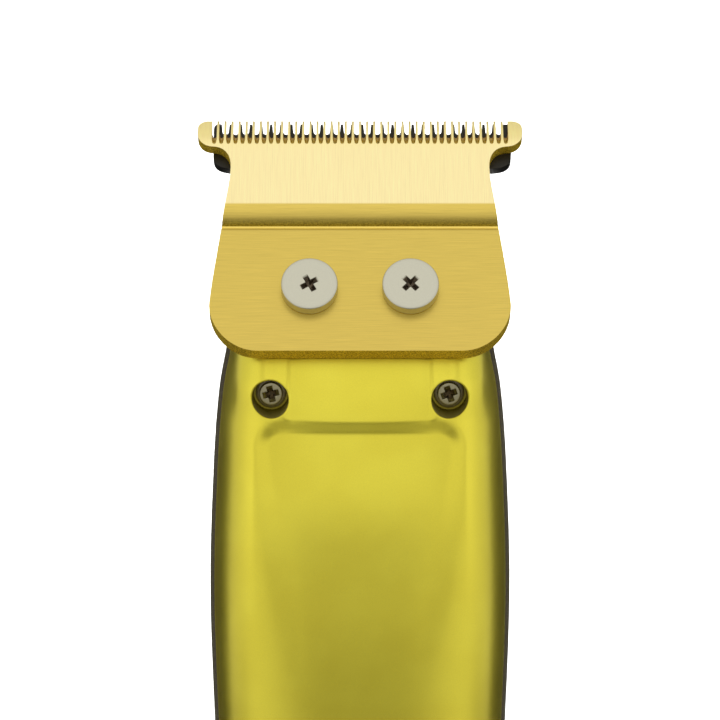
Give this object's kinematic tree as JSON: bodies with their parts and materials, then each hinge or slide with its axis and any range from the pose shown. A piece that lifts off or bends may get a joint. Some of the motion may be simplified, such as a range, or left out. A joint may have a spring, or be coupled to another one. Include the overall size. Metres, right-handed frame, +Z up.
{
  "type": "hair clipper",
  "caption": "Cordless T-blade hair clipper with a metallic front shell, wide fixed comb blade, sliding cutter, magnetic motor, press button and base charging socket.",
  "frame": {"origin": "middle of the flat base that the clipper stands on", "axes": "+Z up the handle to the blades, front face and blade screws towards -Y, X across the width of the blades"},
  "size_m": [0.04, 0.0342, 0.1611],
  "materials": {
    "lime_gold": "satin metallic with a fine speckle",
    "dark_grey": "matt, fine grain",
    "blade_gold": "titanium-gold coating over brushed steel",
    "black_steel": "black carbon coating",
    "black_plastic": "matt",
    "nickel": "nickel plate",
    "steel": "plain",
    "copper": "enamelled copper wire",
    "magnet": "nickel-plated magnet",
    "contact_brass": "plain",
    "board_green": "solder resist",
    "cell_blue": "shrink sleeve",
    "rubber": "matt",
    "clear_plastic": "frosted clear"
  },
  "bodies": {
    "housing": {"front_shell": "lime_gold", "rear_shell": "dark_grey", "end_cap": "dark_grey", "fixed_blade": "blade_gold", "blade_screw_left": "nickel", "blade_screw_right": "nickel", "blade_bracket": "steel", "tension_spring": "steel", "guide_rod": "steel", "stator_core": "steel", "coil": "copper", "chassis": "black_plastic", "head_seal": "rubber", "battery_cell": "cell_blue", "battery_contact_top": "contact_brass", "battery_contact_bottom": "contact_brass", "circuit_board": "board_green", "tact_switch": "black_plastic", "status_led": "clear_plastic", "status_lens": "clear_plastic", "button_ring": "dark_grey", "charging_socket": "steel", "charging_tongue": "black_plastic", "charging_board": "board_green", "shell_washer_left": "steel", "shell_washer_right": "steel", "shell_screw_left": "nickel", "shell_screw_right": "nickel", "cap_screw_left": "steel", "cap_screw_right": "steel"},
    "shuttle": {"armature": "steel", "magnet_left": "magnet", "magnet_right": "magnet", "drive_pin": "steel"},
    "cutter": {"moving_blade": "black_steel", "cutter_yoke": "black_plastic"},
    "button": {"power_button": "lime_gold"}
  },
  "joints": [
    {"name": "armature_slide", "type": "slide", "parent": "housing", "child": "shuttle", "axis": [1, 0, 0], "range_m": [-0.00147, 0.00093], "stiffness_N_per_m": 1500},
    {"name": "cutter_slide", "type": "slide", "parent": "housing", "child": "cutter", "axis": [1, 0, 0], "range_m": [-0.00147, 0.00093]},
    {"name": "power_button_press", "type": "slide", "parent": "housing", "child": "button", "axis": [0, 1, 0], "range_m": [0, 0.0006], "stiffness_N_per_m": 1200}
  ],
  "couplings": [
    {"joint": "cutter_slide", "follows": "armature_slide", "ratio": 1}
  ]
}
